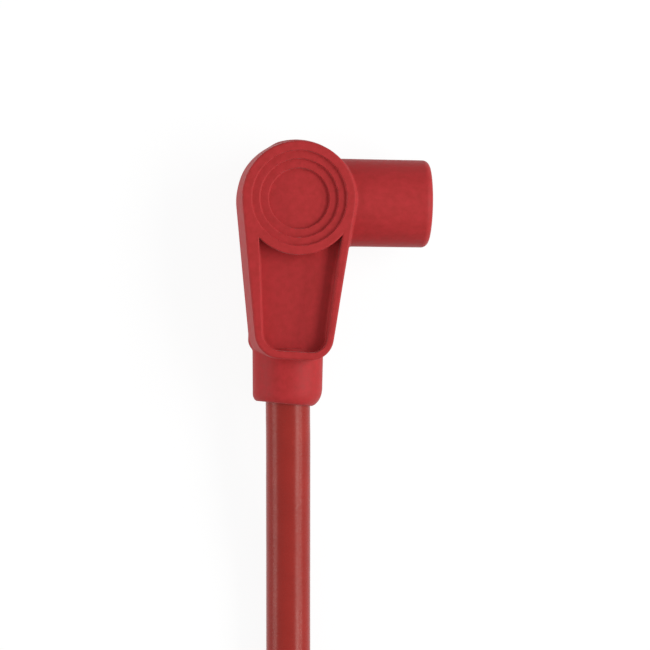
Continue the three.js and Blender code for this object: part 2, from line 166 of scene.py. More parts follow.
def uneven_gloss(tree, shader, coordinates, scale, span, roughness):
    """Roughness that wanders between two values, while the noise runs over its span."""
    value = noise(tree, coordinates, scale)
    node = tree.nodes.new("ShaderNodeMapRange")
    for socket, number in zip(("From Min", "From Max", "To Min", "To Max"), (*span, *roughness)):
        node.inputs[socket].default_value = number
    tree.links.new(value, node.inputs["Value"])
    tree.links.new(node.outputs["Result"], shader.inputs["Roughness"])


def mottled(tree, shader, coordinates, color, scale, amount, tint, span=(0.3, 0.7)):
    """Breaks an even colour into slightly lighter and darker cloud."""
    ramp = tree.nodes.new("ShaderNodeValToRGB")
    dark = [c * (1 - amount) for c in color]
    light = [min(1.0, c * (1 + amount) + t) for c, t in zip(color, tint)]
    for element, position, shade in zip(ramp.color_ramp.elements, span, (dark, light)):
        element.position = position
        element.color = (*shade, 1)
    tree.links.new(noise(tree, coordinates, scale), ramp.inputs["Fac"])
    tree.links.new(ramp.outputs["Color"], shader.inputs["Base Color"])


def bumped(tree, shader, coordinates, layers):
    """Fine grain in the surface: (scale, height) for each layer."""
    normal = None
    for scale, height in layers:
        bump = tree.nodes.new("ShaderNodeBump")
        bump.inputs["Strength"].default_value = 1.0
        bump.inputs["Distance"].default_value = height
        tree.links.new(noise(tree, coordinates, scale, detail=2.0), bump.inputs["Height"])
        if normal:
            tree.links.new(normal, bump.inputs["Normal"])
        normal = bump.outputs["Normal"]
    tree.links.new(normal, shader.inputs["Normal"])


def silicone(name, color):
    """Moulded silicone: matte, with a fine grain off the mould."""
    material, tree, shader = new_material(name, color, roughness=0.6, specular=0.2)
    shader.inputs["Sheen Weight"].default_value = 0.12
    shader.inputs["Sheen Roughness"].default_value = 0.35
    place = object_coordinates(tree)
    mottled(tree, shader, place, color, scale=900.0, amount=0.09, tint=(0.0, 0.001, 0.004))
    uneven_gloss(tree, shader, place, scale=900.0, span=(0.3, 0.7), roughness=(0.54, 0.66))
    bumped(tree, shader, place, [(450.0, 0.00005), (2600.0, 0.000014)])
    return material


def jacket(name, color):
    """Extruded silicone jacket: smoother than the boots, with a warm gloss and faint marks."""
    material, tree, shader = new_material(name, color, roughness=0.28, specular=0.24)
    shader.inputs["Specular Tint"].default_value = (1.0, 0.86, 0.78, 1.0)
    place = object_coordinates(tree)
    mottled(tree, shader, place, color, scale=240.0, amount=0.06, tint=(0.0, 0.001, 0.001))
    uneven_gloss(tree, shader, place, scale=700.0, span=(0.3, 0.7), roughness=(0.24, 0.32))
    bumped(tree, shader, place, [(260.0, 0.00004), (2200.0, 0.000008)])
    return material


def metal(name, color, roughness):
    """Rolled and plated metal, with soft scuffs."""
    material, tree, shader = new_material(name, color, roughness, metallic=1.0)
    place = object_coordinates(tree)
    uneven_gloss(tree, shader, place, scale=1500.0, span=(0.25, 0.75),
                 roughness=(roughness - 0.07, roughness + 0.1))
    bumped(tree, shader, place, [(1800.0, 0.000006)])
    return material


def matte(name, color, roughness, grain):
    """A plain matte finish with some grain, for the nylon ties and the carbon core."""
    material, tree, shader = new_material(name, color, roughness, specular=0.25)
    place = object_coordinates(tree)
    uneven_gloss(tree, shader, place, scale=1200.0, span=(0.25, 0.75),
                 roughness=(roughness - 0.06, roughness + 0.08))
    bumped(tree, shader, place, [(grain, 0.00001)])
    return material


def kept(name, make, **values):
    """The material of that name, made once."""
    return bpy.data.materials.get(name) or make(name, **values)


def silicone_finish():
    return kept("moulded_silicone", silicone, color=tuple(bpy.context.scene.boot.silicone_color))


def jacket_finish():
    return kept("extruded_jacket", jacket, color=tuple(bpy.context.scene.lead.jacket_color))


def nylon_finish():
    return kept("nylon", matte, color=tuple(bpy.context.scene.lead.tie_color), roughness=0.42,
                grain=1500.0)


def core_finish():
    return kept("carbon_core", matte, color=CORE_COLOR, roughness=0.75, grain=3500.0)


def steel_finish():
    return kept("tinned_steel", metal, color=tuple(bpy.context.scene.terminals.steel_color),
                roughness=0.3)


def brass_finish():
    return kept("brass", metal, color=tuple(bpy.context.scene.terminals.brass_color),
                roughness=0.26)


# Meshes

CURVE_CUTS = 24  # short lines between two points of a curve
END_CUTS = 3  # rings in a tube's rounded end
ARC_POINTS = 6  # points in a profile's rounded corner
ON_AXIS = 1e-9  # a smaller radius is a single point on the axis


def add_piece(name, mesh, material, replaced):
    """Links a mesh as a piece of the part, with its finish and the solids it stands for."""
    piece = bpy.data.objects.new(name, mesh)
    bpy.context.scene.collection.objects.link(piece)
    mesh.materials.clear()
    mesh.materials.append(material)
    mesh.polygons.foreach_set("use_smooth", [True] * len(mesh.polygons))
    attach(piece, "root")
    if replaced:
        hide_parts(*replaced)
    return piece


def mesh_from(name, points, faces):
    mesh = bpy.data.meshes.new(name)
    mesh.from_pydata([tuple(p) for p in points], [], [tuple(f) for f in faces])
    mesh.update()
    return mesh


def keep_flats(mesh):
    """Vertex normals led by the larger faces, so that flat parts stay flat between roundings."""
    normals = np.zeros((len(mesh.vertices), 3))
    for face in mesh.polygons:
        for vertex in face.vertices:
            normals[vertex] += np.array(face.normal) * face.area
    normals /= np.linalg.norm(normals, axis=1)[:, None]
    mesh.normals_split_custom_set_from_vertices([tuple(n) for n in normals])


def smooth_line(points, step):
    """A centripetal curve through points, cut into equal steps."""
    p = np.asarray(points, float)
    p = np.vstack([2 * p[0] - p[1], p, 2 * p[-1] - p[-2]])
    dense = []
    for i in range(1, len(p) - 2):
        p0, p1, p2, p3 = p[i - 1:i + 3]
        t0 = 0.0
        t1 = t0 + math.sqrt(np.linalg.norm(p1 - p0))
        t2 = t1 + math.sqrt(np.linalg.norm(p2 - p1))
        t3 = t2 + math.sqrt(np.linalg.norm(p3 - p2))
        for t in np.linspace(t1, t2, CURVE_CUTS, endpoint=False):
            a1 = (t1 - t) / (t1 - t0) * p0 + (t - t0) / (t1 - t0) * p1
            a2 = (t2 - t) / (t2 - t1) * p1 + (t - t1) / (t2 - t1) * p2
            a3 = (t3 - t) / (t3 - t2) * p2 + (t - t2) / (t3 - t2) * p3
            b1 = (t2 - t) / (t2 - t0) * a1 + (t - t0) / (t2 - t0) * a2
            b2 = (t3 - t) / (t3 - t1) * a2 + (t - t1) / (t3 - t1) * a3
            dense.append((t2 - t) / (t2 - t1) * b1 + (t - t1) / (t2 - t1) * b2)
    dense.append(p[-2])
    dense = np.array(dense)
    along = np.concatenate([[0], np.cumsum(np.linalg.norm(np.diff(dense, axis=0), axis=1))])
    count = max(2, int(round(along[-1] / step)) + 1)
    at = np.linspace(0, along[-1], count)
    return np.stack([np.interp(at, along, dense[:, i]) for i in range(3)], 1), along[-1]


def tube_mesh(name, line, radius, sides, end_round):
    """A round tube along a line, its ends closed and their edges rounded."""
    tangent = np.gradient(line, axis=0)
    tangent /= np.linalg.norm(tangent, axis=1)[:, None]
    side = np.cross(tangent[0], (0.3, 0.2, 1.0))  # any direction that isn't along the line
    rings = []
    for i in range(len(line)):
        side = side - tangent[i] * np.dot(side, tangent[i])
        side /= np.linalg.norm(side)
        rings.append((line[i], side.copy(), np.cross(tangent[i], side), radius))
    ends = []
    for index, sign in ((0, -1), (-1, 1)):
        centre, u, v, _ = rings[index]
        push = tangent[index] * sign
        cap = []
        for k in range(1, END_CUTS + 1):
            angle = math.pi / 2 * k / END_CUTS
            cap.append((centre + push * end_round * (math.sin(angle) - 1), u, v,
                        radius - end_round * (1 - math.cos(angle))))
        ends.append(cap)
    rings = ends[0][::-1] + rings[1:-1] + ends[1]
    turn = np.linspace(0, 2 * math.pi, sides, endpoint=False)
    points = [c + r * (math.cos(a) * u + math.sin(a) * v) for c, u, v, r in rings for a in turn]
    faces = []
    for i in range(len(rings) - 1):
        for j in range(sides):
            k = (j + 1) % sides
            faces.append((i * sides + j, i * sides + k, (i + 1) * sides + k, (i + 1) * sides + j))
    faces.append(tuple(range(sides))[::-1])
    faces.append(tuple((len(rings) - 1) * sides + j for j in range(sides)))
    return mesh_from(name, points, faces)


def turned_mesh(name, profile, segments, place):
    """A closed turned shape from (radius, distance) points about the local Y axis."""
    points = []
    rows = []
    for r, y in profile:
        if r < ON_AXIS:
            rows.append([len(points)])
            points.append((0.0, y, 0.0))
            continue
        rows.append(list(range(len(points), len(points) + segments)))
        for j in range(segments):
            a = 2 * math.pi * j / segments
            points.append((r * math.cos(a), y, r * math.sin(a)))
    faces = []
    for lower, upper in zip(rows, rows[1:] + rows[:1]):
        if len(lower) == 1 and len(upper) == 1:
            continue
        for j in range(segments):
            k = (j + 1) % segments
            ring = [lower[j % len(lower)], upper[j % len(upper)], upper[k % len(upper)],
                    lower[k % len(lower)]]
            face = tuple(dict.fromkeys(ring))
            if len(face) > 2:
                faces.append(face)
    points = [tuple(place @ Vector(p)) for p in points]
    mesh = mesh_from(name, points, faces)
    shape = bmesh.new()
    shape.from_mesh(mesh)
    bmesh.ops.recalc_face_normals(shape, faces=shape.faces)
    shape.to_mesh(mesh)
    shape.free()
    return mesh


def rounded_profile(corners):
    """(radius, distance, rounding) corners as a line of points with small arcs in them."""
    line = []
    count = len(corners)
    for i, (r, y, rounding) in enumerate(corners):
        here = np.array([r, y])
        if rounding <= 0:
            line.append(tuple(here))
            continue
        before = np.array(corners[(i - 1) % count][:2]) - here
        after = np.array(corners[(i + 1) % count][:2]) - here
        longest = 0.48  # of a side, so that two roundings never meet
        reach = min(rounding, longest * np.linalg.norm(before), longest * np.linalg.norm(after))
        start = here + before / np.linalg.norm(before) * reach
        end = here + after / np.linalg.norm(after) * reach
        for t in np.linspace(0, 1, ARC_POINTS):
            line.append(tuple((1 - t) ** 2 * start + 2 * t * (1 - t) * here + t ** 2 * end))
    return line


# The plug boot's shape, in millimetres. The lead's axis runs along Y and the socket's along X,
# and they cross at (0, 0, AXIS_Z). Left is -X and right is +X.

AXIS_Z = 8.0  # also half the boot's thickness

HEAD = (1.2, 0.0)
HEAD_R = 9.6
FOOT = (-5.7, 6.6, -27.15)  # left side, right side and lowest line
FOOT_CORNERS = (4.2, 4.1)
FOOT_SLANT = 0.05
SLANT_FROM, SLANT_FADE = -12, 12
FOOT_EDGE_ROUND = 0.1  # more rounding than the other edges have
FOOT_EDGE_FROM, FOOT_EDGE_FADE = -24.8, 1.5
SIDE_DRAFT = 0.7  # how far the sides stand proud at mid-depth
PARTING_LAND = 0.3  # half the straight band at mid-depth
MIDDLE_FOOT = (FOOT[0] - SIDE_DRAFT, FOOT[1] + 0.45, FOOT[2] + 0.25)
MIDDLE_CORNERS = (3.3, 5.2)
HEAD_SWELL = 0.16  # the upper half of the head, at mid-depth
SWELL_FROM, SWELL_FADE = 2, 4

FLASH_X = 1.8  # the flash on top of the head, at the parting line
FLASH_REACH, FLASH_FADE = 5.9, 2.2
FLASH_HALF_WIDTH = 1.3
FLASH_HEIGHT = 0.27
FLASH_ABOVE = 5

POCKET_DEPTH = 2.4
POCKET_TOP = -1  # the pocket isn't cut above this line
RIM_AT_HEAD = (2.6, 1.5)  # how far the pocket's sides lie inside the head, left and right
POCKET_FOOT = (FOOT[0] + 0.95, FOOT[1] - 0.7, FOOT[2] + 1.3)
POCKET_CORNERS = (3.1, 2.9)
POCKET_DRAFT, RIGHT_DRAFT = 0.05, 0.05  # the second is added at the right wall
POCKET_ROUND = 0.25  # where the floor meets the walls, other than the right one
RIGHT_FROM, RIGHT_FADE = 1, 4  # across the boot, where the right wall's own shape fades in
FOOT_WALL_FROM, FOOT_WALL_FADE = -25, 3  # and up from the foot
RIGHT_ROUND_FROM, RIGHT_ROUND_FADE = -9, 5  # and down from the head, for its rounding
RIM_ROUND, RIGHT_RIM_ROUND = 0.16, 0.14  # the second is added at the right wall
HEAD_WALL_INSET = 0.02  # the pocket's end below the head
HEAD_WALL_DRAFT = 0.06
HEAD_WALL_ROUND = 0.1

SOCKET_R = 7.55
SOCKET_TAPER = 0.05
SOCKET_START, SOCKET_END = 1.2, 24
MOUTH_ROUND = 1.2
SOCKET_FILLET = 0.35

COLLAR_R = 5.9  # at its end
COLLAR_TAPER = 0.15
COLLAR_END, COLLAR_TAPER_LENGTH = -35, 9.7
COLLAR_TOP = -25.3
COLLAR_FILLET = 0.2
TIP_Y, TIP_SLANT = -34.65, 0.09
NOSE_LEFT, NOSE_ACROSS = -5, 10  # the nose changes between its left and its right side
NOSE_LENGTH = (1.2, 2.1)  # at the left, and how much more at the right
NOSE_DEPTH = (0.75, 1.5)

HEAD_STEPS = ((8.05, 0.55), (6.65, 1.1), (5.15, 1.7))  # radius, and depth below the front face
STEP_FLOOR_ROUND = 0.12
STEP_EDGE_ROUND = 0.08

LUMP = (-5.55, -23.9, AXIS_Z)  # beside the foot's left corner, at the parting line
LUMP_SIZE = (1.15, 1.4, 1.3)
LUMP_FILLET = 0.4

LEAD_BORE = (4.0, -36, -21, 0.05)  # radius, start, end and rounding of the inner edges
CRIMP_BORE = (4.6, -21.6, 0, 0.1)
CUP_CHAMBER = (4.7, -4.8, 11, 0.2)
PLUG_BORE_R = 5.0
PLUG_BORE_START = 10.3
PLUG_BORE_BEVEL = 23.4  # from here to the mouth
PLUG_BORE_ROUND = 0.15
CUT_PAST_MOUTH = 26
BORE_EDGE_ROUND = 0.12

BOOT_LOW = (-9.9, -35.7, -0.6)  # the box that the boot's mesh is looked for in
BOOT_HIGH = (25.0, 11.1, 16.6)
BOOT_TRIANGLES = 185000
SLOPE_REACH = 0.02  # how far apart the distance is read to find its slope
NORMAL_REACH = 0.04
LEAST_SQUARED_SLOPE = 0.05  # where rounded forms meet, the distance can be nearly flat
FIRST_ROUNDS, LATER_ROUNDS = 3, 2  # of moving points onto the surface
EVENING_ROUNDS = 2  # of evening them out between their neighbours


def eased(t):
    """From 0 to 1 with a soft start and end."""
    t = np.clip(t, 0, 1)
    return t * t * (3 - 2 * t)


def outline(head_radii, foot, corner_radii):
    """Lines from the head's circle down to the foot, and the arcs of the foot's corners.

    head_radii and corner_radii are (left, right); foot is (left x, right x, lowest y).
    """
    head = np.array(HEAD)
    down = np.array([0.0, -1.0])
    sides, circles = [], []
    for radius, x, corner, sign in zip(head_radii, foot, corner_radii, (-1, 1)):
        away = np.array([x, foot[2]]) - head
        angle = math.atan2(away[1], away[0]) + sign * math.acos(radius / np.linalg.norm(away))
        side = np.array([math.cos(angle), math.sin(angle)])
        lines = np.array([side, down])
        middle = np.linalg.solve(lines, lines @ np.array([x, foot[2]]) - corner)
        sides.append(side)
        circles.append((middle, corner))
    return head_radii, foot[2], sides, circles


def outline_distance(shape, x, y, with_head=True):
    """Signed distance to the outline, less than nothing inside it."""
    head_radii, lowest, sides, circles = shape
    down = np.array([0.0, -1.0])
    dx, dy = x - HEAD[0], y - HEAD[1]
    best = np.maximum(lowest - y, dx * sides[0][0] + dy * sides[0][1] - head_radii[0])
    best = np.maximum(best, dx * sides[1][0] + dy * sides[1][1] - head_radii[1])

    def between(u, v, a, b):
        return (a[0] * v - a[1] * u >= 0) & (u * b[1] - v * b[0] >= 0)

    if with_head:
        beyond = ~between(dx, dy, sides[0], sides[1])
        best = np.where(beyond, np.maximum(best, np.hypot(dx, dy) - head_radii[0]), best)
    for (middle, corner), a, b in ((circles[0], sides[0], down), (circles[1], down, sides[1])):
        u, v = x - middle[0], y - middle[1]
        best = np.where(between(u, v, a, b), np.maximum(best, np.hypot(u, v) - corner), best)
    return best


def both(a, b, r):
    """The common part of two shapes, its edge rounded by r."""
    u = np.maximum(a + r, 0)
    v = np.maximum(b + r, 0)
    return np.minimum(np.maximum(a, b), -r) + np.hypot(u, v)


def either(a, b, r):
    """Two shapes as one, with a fillet of r where they meet."""
    return -both(-a, -b, r)


def without(a, b, r):
    """A shape with another cut out of it, the edge rounded by r."""
    return both(a, -b, r)


def head_and_shank(x, y, height, level, edge):
    """The head and the shank in one block, widest at mid-depth where the mould parts."""
    proud = np.clip((AXIS_Z - height) / (AXIS_Z - PARTING_LAND), 0, 1)
    face = outline((HEAD_R, HEAD_R), FOOT, FOOT_CORNERS)
    wide = HEAD_R + SIDE_DRAFT
    middle = outline((wide, wide), MIDDLE_FOOT, MIDDLE_CORNERS)
    side = ((1 - proud) * outline_distance(face, x, level)
            + proud * outline_distance(middle, x, level))
    flash = (eased((FLASH_REACH - np.abs(x - FLASH_X)) / FLASH_FADE)
             * np.clip(1 - (height / FLASH_HALF_WIDTH) ** 2, 0, 1))
    side = (side - FLASH_HEIGHT * flash * (y > FLASH_ABOVE)
            - HEAD_SWELL * proud * eased((y - SWELL_FROM) / SWELL_FADE))
    foot_edge = FOOT_EDGE_ROUND * np.clip((FOOT_EDGE_FROM - y) / FOOT_EDGE_FADE, 0, 1)
    return both(side, height - AXIS_Z, edge + foot_edge)


def with_pockets(body, x, y, height, level, head, floor_round):
    """The body with the pocket cut in its front, and the same one in its back."""
    sides = outline((HEAD_R - RIM_AT_HEAD[0], HEAD_R - RIM_AT_HEAD[1]), POCKET_FOOT,
                    POCKET_CORNERS)
    right_wall = (eased((x - RIGHT_FROM) / RIGHT_FADE)
                  * eased((y - FOOT_WALL_FROM) / FOOT_WALL_FADE))
    walls = (outline_distance(sides, x, level, with_head=False)
             + (POCKET_DRAFT + RIGHT_DRAFT * right_wall) * (AXIS_Z - height))
    below = eased((RIGHT_ROUND_FROM - y) / RIGHT_ROUND_FADE)
    fillet = POCKET_ROUND + (floor_round - POCKET_ROUND) * right_wall * below
    hollow = both(np.maximum(walls, y - POCKET_TOP), AXIS_Z - POCKET_DEPTH - height, fillet)
    below_head = HEAD_R - HEAD_WALL_INSET - head - HEAD_WALL_DRAFT * (AXIS_Z - height)
    hollow = both(hollow, below_head, HEAD_WALL_ROUND)
    return without(body, hollow, RIM_ROUND + RIGHT_RIM_ROUND * right_wall)


def side_socket(x, radial):
    """The round socket, a little narrower towards its rounded mouth."""
    taper = SOCKET_TAPER * np.clip(x / SOCKET_END, 0, 1)
    socket = both(radial - SOCKET_R + taper, x - SOCKET_END, MOUTH_ROUND)
    return np.maximum(socket, SOCKET_START - x)


def collar(x, y, around):
    """The round collar. Its nose is longer and deeper at the right than at the left."""
    across = np.clip((x - NOSE_LEFT) / NOSE_ACROSS, 0, 1)
    nose_long = NOSE_LENGTH[0] + NOSE_LENGTH[1] * across
    nose_deep = NOSE_DEPTH[0] + NOSE_DEPTH[1] * across
    nose_start = nose_long + TIP_Y - TIP_SLANT * x
    radius = COLLAR_R + COLLAR_TAPER * np.clip((y - COLLAR_END) / COLLAR_TAPER_LENGTH, 0, 1)
    outward = np.maximum(around - radius + nose_deep, 0) / nose_deep
    onward = np.maximum(nose_start - y, 0) / nose_long
    nose = (np.hypot(outward, onward) - 1) * nose_deep
    return np.maximum(np.where(y < nose_start, nose, around - radius), y - COLLAR_TOP)


def bore(from_axis, along, sizes):
    """A round hole between two places along its axis."""
    radius, start, end, rounding = sizes
    return both(from_axis - radius, np.maximum(start - along, along - end), rounding)


def bores(x, y, around, radial):
    """All the room inside: for the lead, its crimp, the snap cup and the spark plug."""
    lead_bore = bore(around, y, LEAD_BORE)
    crimp_bore = bore(around, y, CRIMP_BORE)
    chamber = bore(radial, x, CUP_CHAMBER)
    plug_bore = both(radial - PLUG_BORE_R - np.maximum(x - PLUG_BORE_BEVEL, 0),
                     PLUG_BORE_START - x, PLUG_BORE_ROUND)
    plug_bore = np.maximum(plug_bore, x - CUT_PAST_MOUTH)
    return np.minimum(np.minimum(lead_bore, crimp_bore), np.minimum(chamber, plug_bore))


def plug_boot_distance(x, y, z, edge, floor_round):
    """Rough signed distance to the plug boot's surface, less than nothing inside it."""
    height = np.abs(z - AXIS_Z)
    level = y + FOOT_SLANT * x * eased((SLANT_FROM - y) / SLANT_FADE)
    head = np.hypot(x - HEAD[0], y - HEAD[1])
    radial = np.hypot(y, z - AXIS_Z)
    around = np.hypot(x, z - AXIS_Z)
    body = head_and_shank(x, y, height, level, edge)
    body = with_pockets(body, x, y, height, level, head, floor_round)
    body = either(body, side_socket(x, radial), SOCKET_FILLET)
    body = either(body, collar(x, y, around), COLLAR_FILLET)
    depth = 2 * AXIS_Z - z
    for radius, drop in HEAD_STEPS:
        recess = both(head - radius, depth - drop, STEP_FLOOR_ROUND)
        body = without(body, recess, STEP_EDGE_ROUND)
    lump = np.sqrt(sum(((value - middle) / half) ** 2
                       for value, middle, half in zip((x, y, z), LUMP, LUMP_SIZE)))
    body = either(body, lump - 1, LUMP_FILLET)
    return without(body, bores(x, y, around, radial), BORE_EDGE_ROUND)


def crossed_cells(inside):
    """The grid cells that have corners both inside and outside the shape."""
    n = [s - 1 for s in inside.shape]
    count = np.zeros(n, np.int8)
    for dx in (0, 1):
        for dy in (0, 1):
            for dz in (0, 1):
                count += inside[dx:n[0] + dx, dy:n[1] + dy, dz:n[2] + dz]
    return np.argwhere((count > 0) & (count < 8))


def cell_points(value, cells):
    """For each cell, the middle of the places where the surface crosses its edges."""
    corner = np.array([[i, j, k] for i in (0, 1) for j in (0, 1) for k in (0, 1)])
    at = cells[:, None, :] + corner[None]
    corner_value = value[at[..., 0], at[..., 1], at[..., 2]]
    total = np.zeros((len(cells), 3))
    hits = np.zeros(len(cells))
    for a in range(8):
        for b in range(a + 1, 8):
            if np.abs(corner[a] - corner[b]).sum() != 1:
                continue
            va, vb = corner_value[:, a], corner_value[:, b]
            crossed = (va < 0) != (vb < 0)
            t = np.where(crossed, va / np.where(crossed, va - vb, 1), 0)
            total += np.where(crossed[:, None], corner[a] + t[:, None] * (corner[b] - corner[a]), 0)
            hits += crossed
    return cells + total / hits[:, None]


def joined_cells(inside, cells):
    """Four-sided faces between the points of neighbouring cells, facing outwards."""
    index = np.full([s - 1 for s in inside.shape], -1, np.int64)
    index[tuple(cells.T)] = np.arange(len(cells))
    faces = []
    for axis in range(3):
        u, v = (axis + 1) % 3, (axis + 2) % 3
        first = [slice(1, -1)] * 3
        second = [slice(1, -1)] * 3
        first[axis] = slice(0, -1)
        second[axis] = slice(1, None)
        here, there = inside[tuple(first)], inside[tuple(second)]
        start = np.argwhere(here != there)
        start[:, u] += 1
        start[:, v] += 1
        outward = inside[tuple(start.T)]
        quad = []
        for du, dv in ((-1, -1), (0, -1), (0, 0), (-1, 0)):
            cell = start.copy()
            cell[:, u] += du
            cell[:, v] += dv
            quad.append(index[tuple(cell.T)])
        quad = np.stack(quad, 1)
        quad = np.where(outward[:, None], quad, quad[:, ::-1])
        faces.append(quad)
    return np.vstack(faces)


def evened(points, faces):
    """Points moved halfway to the middle of their neighbours."""
    near = np.zeros_like(points)
    links = np.zeros(len(points))
    for i in range(4):
        for j in ((i + 1) % 4, (i + 3) % 4):
            for k in range(3):
                near[:, k] += np.bincount(faces[:, i], points[faces[:, j], k], len(points))
            links += np.bincount(faces[:, i], minlength=len(points))
    return 0.5 * points + 0.5 * near / links[:, None]


def surface_of(distance, low, high, step):
    """Points and faces of the surface where distance(x, y, z) is nothing, from a grid."""
    axes = [np.arange(low[i], high[i] + step, step) for i in range(3)]
    grid = np.meshgrid(*axes, indexing="ij", sparse=True)
    value = distance(*grid).astype(np.float32)
    inside = value < 0
    cells = crossed_cells(inside)
    faces = joined_cells(inside, cells)
    points = cell_points(value, cells) * step + np.array(low)
    points = settled(distance, points, FIRST_ROUNDS, step)
    for _ in range(EVENING_ROUNDS):
        points = settled(distance, evened(points, faces), LATER_ROUNDS, step)
    return points, faces


def slope(distance, p, h=SLOPE_REACH):
    """How fast the distance grows along each axis."""
    g = np.empty_like(p)
    for i in range(3):
        d = np.zeros(3)
        d[i] = h
        g[:, i] = (distance(*(p + d).T) - distance(*(p - d).T)) / (2 * h)
    return g


def settled(distance, p, rounds, step):
    """Points moved onto the surface along its slope, half a grid step a round at most."""
    for _ in range(rounds):
        g = slope(distance, p)
        squared = np.maximum((g * g).sum(1), LEAST_SQUARED_SLOPE)
        move = distance(*p.T)[:, None] * g / squared[:, None]
        size = np.linalg.norm(move, axis=1)[:, None]
        p = p - move * np.minimum(1, 0.5 * step / np.maximum(size, 1e-9))
    return p


def thinned(mesh, most):
    """The mesh with its flat parts in fewer faces, at most so many triangles in all."""
    triangles = 2 * len(mesh.polygons)
    if triangles <= most:
        return mesh
    holder = bpy.data.objects.new("thinning", mesh)
    bpy.context.scene.collection.objects.link(holder)
    thin = holder.modifiers.new("thin", "DECIMATE")
    thin.ratio = most / triangles
    evaluated = holder.evaluated_get(bpy.context.evaluated_depsgraph_get())
    result = bpy.data.meshes.new_from_object(evaluated)
    result.name = mesh.name
    bpy.data.objects.remove(holder)
    bpy.data.meshes.remove(mesh)
    return result


class PART_OT_plug_boot(bpy.types.Operator):
    """Make the plug boot: head, shank, collar and side socket in one moulding"""

    bl_idname = "part.plug_boot"
    bl_label = "Plug boot"

    def execute(self, context):
        boot = context.scene.boot
        edge, floor_round = boot.edge_round / MM, boot.floor_round / MM
        step = boot.mesh_step / MM

        def distance(x, y, z):
            return plug_boot_distance(x, y, z, edge, floor_round)

        points, faces = surface_of(distance, BOOT_LOW, BOOT_HIGH, step)
        mesh = thinned(mesh_from("plug_boot_moulding", points, faces), BOOT_TRIANGLES)
        points = np.empty(len(mesh.vertices) * 3)
        mesh.vertices.foreach_get("co", points)
        points = settled(distance, points.reshape(-1, 3), LATER_ROUNDS, step)
        normal = slope(distance, points, NORMAL_REACH)
        normal /= np.linalg.norm(normal, axis=1)[:, None]
        mesh.vertices.foreach_set("co", (points * MM).ravel())
        add_piece("plug_boot_moulding", mesh, silicone_finish(), ["plug_boot"])
        mesh.normals_split_custom_set_from_vertices([tuple(v) for v in normal])
        return {"FINISHED"}


# The lead, in millimetres and degrees

RUN_POINTS = [
    (0, -13.0, 8), (0, -24, 8), (0.1, -35, 8), (0.22, -41, 7.85), (0.31, -47, 7.3),
    (0.43, -53, 6.35), (0.57, -59, 5.25), (0.68, -65, 4.35), (0.77, -71, 3.9),
    (0.83, -77, 3.85), (0.85, -86, 3.9), (0.85, -95, 4.2), (0.85, -103.4, 4.6),
    (0.85, -112, 4.95), (0.85, -120, 5.1), (0.85, -129.4, 5.1),
]
TAIL_POINTS = [
    (28.5, -97.9, 13.02), (23.3, -101, 13.2), (18.75, -104.95, 13.62), (15.05, -109.7, 14.2),
    (12.3, -115.1, 14.85), (10.6, -120.9, 15.5),
]
COIL_CENTRE = (43.2, -129.4)
COIL_R = 42.35  # middle of the outer turn
COIL_Z = 5.1
TURN_PITCH = 7.6
LAYER_PITCH = 7.9
COIL_STEP, COIL_END = 15, 645
INWARD_FROM, INWARD_FADE = 220, 140  # from the outer turn to the inner one
UPWARD_FROM, UPWARD_FADE = 550, 105  # up over the outer turn, to the tail
LINE_STEP = 1.6
CORD_SIDES = 40

COIL_BOOT_PLACE = (10.05, -127.0, 15.945)  # its small end
COIL_BOOT_RISE = math.radians(5.26)
COIL_LEAD_END = 19.5  # from the coil boot's small end

CORE_START = 0.3  # clear of the jacket's end
CORE_BEND = 1.4
CORE_REACH = 2.6
PLUG_CORE_LENGTH = 3.1  # along the terminal, from the lead's axis
COIL_CORE_LENGTH = 3.65
CORE_LINE_STEP = 0.2
CORE_SIDES = 20

TIE_SECTION = [(4.1, -1.8), (4.1, 1.8), (4.9, 1.8), (5.05, 1.65), (5.05, -1.65), (4.9, -1.8)]
TIE_BEND_POINTS = 25
TIE_HEAD = (6, 5.2, 3.4)
TIE_HEAD_Z = 5.8
TIE_HEAD_ROUND = 0.8
TIE_HEAD_CUTS = 5  # in each rounded edge
TIE_PLACES = (("coil_tie_front", 265, "coil_tie_1"), ("coil_tie_side", 15, "coil_tie_2"))


def coil_boot_matrix():
    """Local Y runs up the coil boot from its small end."""
    return (Matrix.Translation(Vector(COIL_BOOT_PLACE) * MM)
            @ Matrix.Rotation(math.pi - COIL_BOOT_RISE, 4, "X"))


def along_coil_boot(distance):
    return tuple(coil_boot_matrix() @ Vector((0, distance * MM, 0)) / MM)


def lead_points():
    """The lead's whole way: out of the boot, round the coil and into the coil boot."""
    points = list(RUN_POINTS)
    for degrees in range(COIL_STEP, COIL_END + 1, COIL_STEP):
        radius = COIL_R - TURN_PITCH * eased((degrees - INWARD_FROM) / INWARD_FADE)
        z = COIL_Z + LAYER_PITCH * eased((degrees - UPWARD_FROM) / UPWARD_FADE)
        angle = math.radians(180 + degrees)
        points.append((COIL_CENTRE[0] + radius * math.cos(angle),
                       COIL_CENTRE[1] + radius * math.sin(angle), z))
    return points + TAIL_POINTS + [along_coil_boot(0), along_coil_boot(COIL_LEAD_END)]


class PART_OT_lead(bpy.types.Operator):
    """Make the lead: out of the plug boot, along the table, round its coil, to the coil boot"""

    bl_idname = "part.lead"
    bl_label = "Lead"

    def execute(self, context):
        diameter = context.scene.lead.diameter
        line, length = smooth_line(lead_points(), LINE_STEP)
        line = line * MM
        mesh = tube_mesh("lead_cable", line, diameter / 2, CORD_SIDES, end_round=0.3 * MM)
        piece = add_piece("lead_cable", mesh, jacket_finish(),
                          ["lead_run", "lead_coil", "lead_tail"])
        return {"FINISHED"}


